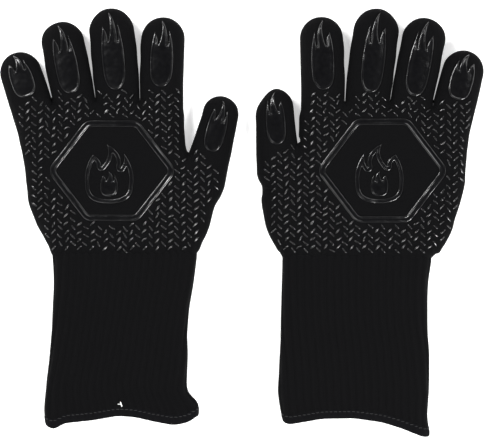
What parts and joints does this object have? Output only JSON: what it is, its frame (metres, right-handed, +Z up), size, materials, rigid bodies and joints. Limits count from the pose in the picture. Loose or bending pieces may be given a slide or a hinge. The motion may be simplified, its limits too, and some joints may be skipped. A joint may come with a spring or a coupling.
{
  "type": "heat resistant glove pair",
  "caption": "Pair of long knitted barbecue gloves with ribbed cuffs, cotton lining and raised silicone grip print on the palm side; fingers, thumb and cuff fold.",
  "frame": {"origin": "centre of the pair's box at the height of the table", "axes": "+X across the pair to the right, +Y towards the fingertips, +Z up from the table, palm sides up"},
  "size_m": [0.4116, 0.3552, 0.0198],
  "materials": {
    "aramid_knit": "fine black machine knit",
    "ribbed_knit": "black ribbed knit",
    "cotton_lining": "soft brushed cotton, charcoal",
    "hem_band": "folded woven band, stitched",
    "silicone": "moulded silicone, satin gloss"
  },
  "bodies": {
    "left_hand": {"left_hand_shell": "aramid_knit", "left_hand_liner": "cotton_lining", "left_palm_badge": "silicone", "left_palm_dashes": "silicone"},
    "left_cuff": {"left_cuff_rib": "ribbed_knit", "left_cuff_liner": "cotton_lining", "left_cuff_hem": "hem_band"},
    "left_thumb": {"left_thumb_shell": "aramid_knit", "left_thumb_liner": "cotton_lining", "left_thumb_flame": "silicone"},
    "left_pinky_root": {"left_pinky_root_shell": "aramid_knit", "left_pinky_root_liner": "cotton_lining"},
    "left_pinky_end": {"left_pinky_end_shell": "aramid_knit", "left_pinky_end_liner": "cotton_lining", "left_pinky_flame": "silicone"},
    "left_ring_root": {"left_ring_root_shell": "aramid_knit", "left_ring_root_liner": "cotton_lining"},
    "left_ring_end": {"left_ring_end_shell": "aramid_knit", "left_ring_end_liner": "cotton_lining", "left_ring_flame": "silicone"},
    "left_middle_root": {"left_middle_root_shell": "aramid_knit", "left_middle_root_liner": "cotton_lining"},
    "left_middle_end": {"left_middle_end_shell": "aramid_knit", "left_middle_end_liner": "cotton_lining", "left_middle_flame": "silicone"},
    "left_index_root": {"left_index_root_shell": "aramid_knit", "left_index_root_liner": "cotton_lining"},
    "left_index_end": {"left_index_end_shell": "aramid_knit", "left_index_end_liner": "cotton_lining", "left_index_flame": "silicone"},
    "right_hand": {"right_hand_shell": "aramid_knit", "right_hand_liner": "cotton_lining", "right_palm_badge": "silicone", "right_palm_dashes": "silicone"},
    "right_cuff": {"right_cuff_rib": "ribbed_knit", "right_cuff_liner": "cotton_lining", "right_cuff_hem": "hem_band"},
    "right_thumb": {"right_thumb_shell": "aramid_knit", "right_thumb_liner": "cotton_lining", "right_thumb_flame": "silicone"},
    "right_pinky_root": {"right_pinky_root_shell": "aramid_knit", "right_pinky_root_liner": "cotton_lining"},
    "right_pinky_end": {"right_pinky_end_shell": "aramid_knit", "right_pinky_end_liner": "cotton_lining", "right_pinky_flame": "silicone"},
    "right_ring_root": {"right_ring_root_shell": "aramid_knit", "right_ring_root_liner": "cotton_lining"},
    "right_ring_end": {"right_ring_end_shell": "aramid_knit", "right_ring_end_liner": "cotton_lining", "right_ring_flame": "silicone"},
    "right_middle_root": {"right_middle_root_shell": "aramid_knit", "right_middle_root_liner": "cotton_lining"},
    "right_middle_end": {"right_middle_end_shell": "aramid_knit", "right_middle_end_liner": "cotton_lining", "right_middle_flame": "silicone"},
    "right_index_root": {"right_index_root_shell": "aramid_knit", "right_index_root_liner": "cotton_lining"},
    "right_index_end": {"right_index_end_shell": "aramid_knit", "right_index_end_liner": "cotton_lining", "right_index_flame": "silicone"}
  },
  "joints": [
    {"name": "left_wrist_fold", "type": "hinge", "parent": "left_hand", "child": "left_cuff", "pos_m": [-0.09885, -0.0251, 0.0095], "axis": [-1, 0, 0], "range_deg": [0, 70]},
    {"name": "left_thumb_fold", "type": "hinge", "parent": "left_hand", "child": "left_thumb", "pos_m": [-0.02747, 0.05288, 0.0095], "axis": [0.7997, -0.6004, 0], "range_deg": [0, 60]},
    {"name": "left_pinky_knuckle", "type": "hinge", "parent": "left_hand", "child": "left_pinky_root", "pos_m": [-0.1827, 0.1064, 0.0095], "axis": [1, 0, 0], "range_deg": [0, 75]},
    {"name": "left_pinky_bend", "type": "hinge", "parent": "left_pinky_root", "child": "left_pinky_end", "pos_m": [-0.18861, 0.1229, 0.0095], "axis": [1, 0, 0], "range_deg": [0, 85]},
    {"name": "left_ring_knuckle", "type": "hinge", "parent": "left_hand", "child": "left_ring_root", "pos_m": [-0.14438, 0.1064, 0.0095], "axis": [1, 0, 0], "range_deg": [0, 75]},
    {"name": "left_ring_bend", "type": "hinge", "parent": "left_ring_root", "child": "left_ring_end", "pos_m": [-0.14943, 0.1319, 0.0095], "axis": [1, 0, 0], "range_deg": [0, 85]},
    {"name": "left_middle_knuckle", "type": "hinge", "parent": "left_hand", "child": "left_middle_root", "pos_m": [-0.10657, 0.1064, 0.0095], "axis": [1, 0, 0], "range_deg": [0, 75]},
    {"name": "left_middle_bend", "type": "hinge", "parent": "left_middle_root", "child": "left_middle_end", "pos_m": [-0.10924, 0.1359, 0.0095], "axis": [1, 0, 0], "range_deg": [0, 85]},
    {"name": "left_index_knuckle", "type": "hinge", "parent": "left_hand", "child": "left_index_root", "pos_m": [-0.06765, 0.1064, 0.0095], "axis": [1, 0, 0], "range_deg": [0, 75]},
    {"name": "left_index_bend", "type": "hinge", "parent": "left_index_root", "child": "left_index_end", "pos_m": [-0.06765, 0.1329, 0.0095], "axis": [1, 0, 0], "range_deg": [0, 85]},
    {"name": "right_wrist_fold", "type": "hinge", "parent": "right_hand", "child": "right_cuff", "pos_m": [0.09915, -0.0276, 0.0095], "axis": [-1, 0, 0], "range_deg": [0, 70]},
    {"name": "right_thumb_fold", "type": "hinge", "parent": "right_hand", "child": "right_thumb", "pos_m": [0.03002, 0.06092, 0.0095], "axis": [0.7997, 0.6004, 0], "range_deg": [0, 60]},
    {"name": "right_pinky_knuckle", "type": "hinge", "parent": "right_hand", "child": "right_pinky_root", "pos_m": [0.18287, 0.1039, 0.0095], "axis": [1, 0, 0], "range_deg": [0, 75]},
    {"name": "right_pinky_bend", "type": "hinge", "parent": "right_pinky_root", "child": "right_pinky_end", "pos_m": [0.1878, 0.1214, 0.0095], "axis": [1, 0, 0], "range_deg": [0, 85]},
    {"name": "right_ring_knuckle", "type": "hinge", "parent": "right_hand", "child": "right_ring_root", "pos_m": [0.14557, 0.1039, 0.0095], "axis": [1, 0, 0], "range_deg": [0, 75]},
    {"name": "right_ring_bend", "type": "hinge", "parent": "right_ring_root", "child": "right_ring_end", "pos_m": [0.151, 0.1314, 0.0095], "axis": [1, 0, 0], "range_deg": [0, 85]},
    {"name": "right_middle_knuckle", "type": "hinge", "parent": "right_hand", "child": "right_middle_root", "pos_m": [0.10824, 0.1039, 0.0095], "axis": [1, 0, 0], "range_deg": [0, 75]},
    {"name": "right_middle_bend", "type": "hinge", "parent": "right_middle_root", "child": "right_middle_end", "pos_m": [0.11186, 0.1344, 0.0095], "axis": [1, 0, 0], "range_deg": [0, 85]},
    {"name": "right_index_knuckle", "type": "hinge", "parent": "right_hand", "child": "right_index_root", "pos_m": [0.06791, 0.1039, 0.0095], "axis": [1, 0, 0], "range_deg": [0, 75]},
    {"name": "right_index_bend", "type": "hinge", "parent": "right_index_root", "child": "right_index_end", "pos_m": [0.06804, 0.1314, 0.0095], "axis": [1, 0, 0], "range_deg": [0, 85]},
    {"name": "right_glove_lift", "type": "slide", "parent": "left_hand", "child": "right_hand", "axis": [0, 0, 1], "range_m": [0, 0.06]}
  ]
}
